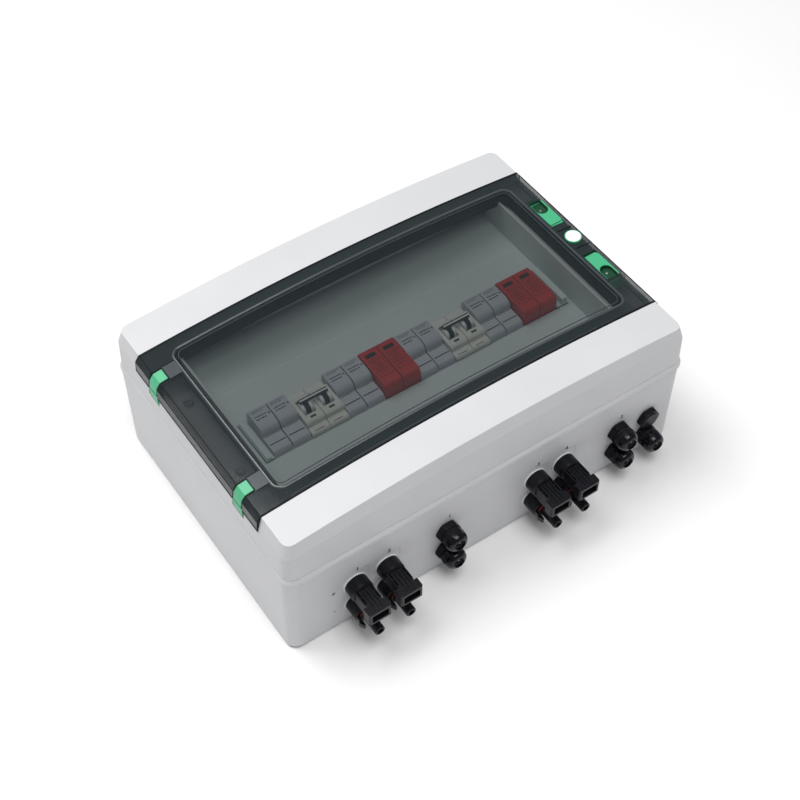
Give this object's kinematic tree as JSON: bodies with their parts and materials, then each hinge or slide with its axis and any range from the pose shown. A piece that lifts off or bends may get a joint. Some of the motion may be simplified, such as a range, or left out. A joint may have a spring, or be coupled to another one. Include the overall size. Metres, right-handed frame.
{
  "type": "dc combiner box",
  "caption": "Wall-mounted box with a smoked door over a row of fuses, breakers and surge arresters, fed through plug connectors and cable glands.",
  "frame": {"origin": "centre of the flat back face, which fixes to a wall", "axes": "+X along the long side from the hinge end to the latch end, -Y out of the wall that carries the connectors, +Z out of the lid"},
  "size_m": [0.4, 0.311, 0.15],
  "materials": {
    "shell": "fine satin moulding",
    "smoked": "clear smoked, glossy",
    "green": "satin",
    "white": "satin",
    "steel": "plated",
    "rubber": "matt",
    "plate": "fine satin moulding",
    "module": "satin",
    "breaker": "satin",
    "red": "satin",
    "black": "satin"
  },
  "bodies": {
    "box": {"base_shell": "shell", "lid_shell": "shell", "lid_gasket": "rubber", "hinge_rod": "steel", "din_rail": "steel", "front_plate": "plate", "blank_left": "plate", "blank_right": "plate", "vent_plug": "black", "lid_screw_1": "steel", "fuse_base_1": "module", "socket_1": "black", "pin_plug_1": "black", "lid_screw_2": "steel", "fuse_base_2": "module", "socket_2": "black", "pin_plug_2": "black", "lid_screw_3": "steel", "fuse_base_3": "module", "socket_3": "black", "pin_plug_3": "black", "lid_screw_4": "steel", "fuse_base_4": "module", "socket_4": "black", "pin_plug_4": "black", "breaker_body_1": "breaker", "surge_base_1": "red", "breaker_body_2": "breaker", "surge_base_2": "red", "gland_body_1": "black", "gland_body_2": "black", "gland_body_3": "black", "gland_body_4": "black", "gland_body_5": "black"},
    "door_set": {"door": "smoked", "hinge_clip_back": "green", "hinge_clip_front": "green", "lock_ring": "green", "lock_plug": "white"},
    "latch_slide_back": {"latch_back": "green"},
    "latch_slide_front": {"latch_front": "green"},
    "carrier_1": {"fuse_carrier_1": "module"},
    "carrier_2": {"fuse_carrier_2": "module"},
    "carrier_3": {"fuse_carrier_3": "module"},
    "carrier_4": {"fuse_carrier_4": "module"},
    "carrier_5": {"fuse_carrier_5": "module"},
    "carrier_6": {"fuse_carrier_6": "module"},
    "carrier_7": {"fuse_carrier_7": "module"},
    "carrier_8": {"fuse_carrier_8": "module"},
    "toggle_1": {"breaker_toggle_1": "black"},
    "toggle_2": {"breaker_toggle_2": "black"},
    "cartridge_1": {"surge_cartridge_1": "red"},
    "cartridge_2": {"surge_cartridge_2": "red"},
    "cartridge_3": {"surge_cartridge_3": "red"},
    "cartridge_4": {"surge_cartridge_4": "red"},
    "nut_1": {"gland_nut_1": "black"},
    "nut_2": {"gland_nut_2": "black"},
    "nut_3": {"gland_nut_3": "black"},
    "nut_4": {"gland_nut_4": "black"},
    "nut_5": {"gland_nut_5": "black"}
  },
  "joints": [
    {"name": "door_hinge", "type": "hinge", "parent": "box", "child": "door_set", "pos_m": [-0.1946, 0, 0.1197], "axis": [0, -1, 0], "range_deg": [0, 100]},
    {"name": "latch_back_slide", "type": "slide", "parent": "door_set", "child": "latch_slide_back", "axis": [0, 1, 0], "range_m": [0, 0.0032]},
    {"name": "latch_front_slide", "type": "slide", "parent": "door_set", "child": "latch_slide_front", "axis": [0, -1, 0], "range_m": [0, 0.0032]},
    {"name": "carrier_1_hinge", "type": "hinge", "parent": "box", "child": "carrier_1", "pos_m": [-0.1346, -0.0303, 0.1045], "axis": [1, 0, 0], "range_deg": [0, 30]},
    {"name": "carrier_2_hinge", "type": "hinge", "parent": "box", "child": "carrier_2", "pos_m": [-0.1166, -0.0303, 0.1045], "axis": [1, 0, 0], "range_deg": [0, 30]},
    {"name": "carrier_3_hinge", "type": "hinge", "parent": "box", "child": "carrier_3", "pos_m": [-0.0626, -0.0303, 0.1045], "axis": [1, 0, 0], "range_deg": [0, 30]},
    {"name": "carrier_4_hinge", "type": "hinge", "parent": "box", "child": "carrier_4", "pos_m": [-0.0446, -0.0303, 0.1045], "axis": [1, 0, 0], "range_deg": [0, 30]},
    {"name": "carrier_5_hinge", "type": "hinge", "parent": "box", "child": "carrier_5", "pos_m": [0.0094, -0.0303, 0.1045], "axis": [1, 0, 0], "range_deg": [0, 30]},
    {"name": "carrier_6_hinge", "type": "hinge", "parent": "box", "child": "carrier_6", "pos_m": [0.0274, -0.0303, 0.1045], "axis": [1, 0, 0], "range_deg": [0, 30]},
    {"name": "carrier_7_hinge", "type": "hinge", "parent": "box", "child": "carrier_7", "pos_m": [0.0814, -0.0303, 0.1045], "axis": [1, 0, 0], "range_deg": [0, 30]},
    {"name": "carrier_8_hinge", "type": "hinge", "parent": "box", "child": "carrier_8", "pos_m": [0.0994, -0.0303, 0.1045], "axis": [1, 0, 0], "range_deg": [0, 30]},
    {"name": "toggle_1_hinge", "type": "hinge", "parent": "box", "child": "toggle_1", "pos_m": [-0.09, -0.0066, 0.112], "axis": [1, 0, 0], "range_deg": [0, 40]},
    {"name": "toggle_2_hinge", "type": "hinge", "parent": "box", "child": "toggle_2", "pos_m": [0.054, -0.0066, 0.112], "axis": [1, 0, 0], "range_deg": [0, 40]},
    {"name": "cartridge_1_slide", "type": "slide", "parent": "box", "child": "cartridge_1", "axis": [0, 0, 1], "range_m": [0, 0.02]},
    {"name": "cartridge_2_slide", "type": "slide", "parent": "box", "child": "cartridge_2", "axis": [0, 0, 1], "range_m": [0, 0.02]},
    {"name": "cartridge_3_slide", "type": "slide", "parent": "box", "child": "cartridge_3", "axis": [0, 0, 1], "range_m": [0, 0.02]},
    {"name": "cartridge_4_slide", "type": "slide", "parent": "box", "child": "cartridge_4", "axis": [0, 0, 1], "range_m": [0, 0.02]},
    {"name": "nut_1_turn", "type": "hinge", "parent": "box", "child": "nut_1", "pos_m": [-0.0485, -0.1503, 0.0515], "axis": [0, -1, 0], "range_deg": [-180, 180]},
    {"name": "nut_2_turn", "type": "hinge", "parent": "box", "child": "nut_2", "pos_m": [-0.0485, -0.1503, 0.0255], "axis": [0, -1, 0], "range_deg": [-180, 180]},
    {"name": "nut_3_turn", "type": "hinge", "parent": "box", "child": "nut_3", "pos_m": [0.1323, -0.1503, 0.0515], "axis": [0, -1, 0], "range_deg": [-180, 180]},
    {"name": "nut_4_turn", "type": "hinge", "parent": "box", "child": "nut_4", "pos_m": [0.1323, -0.1503, 0.0255], "axis": [0, -1, 0], "range_deg": [-180, 180]},
    {"name": "nut_5_turn", "type": "hinge", "parent": "box", "child": "nut_5", "pos_m": [0.166, -0.1503, 0.0245], "axis": [0, -1, 0], "range_deg": [-180, 180]}
  ]
}
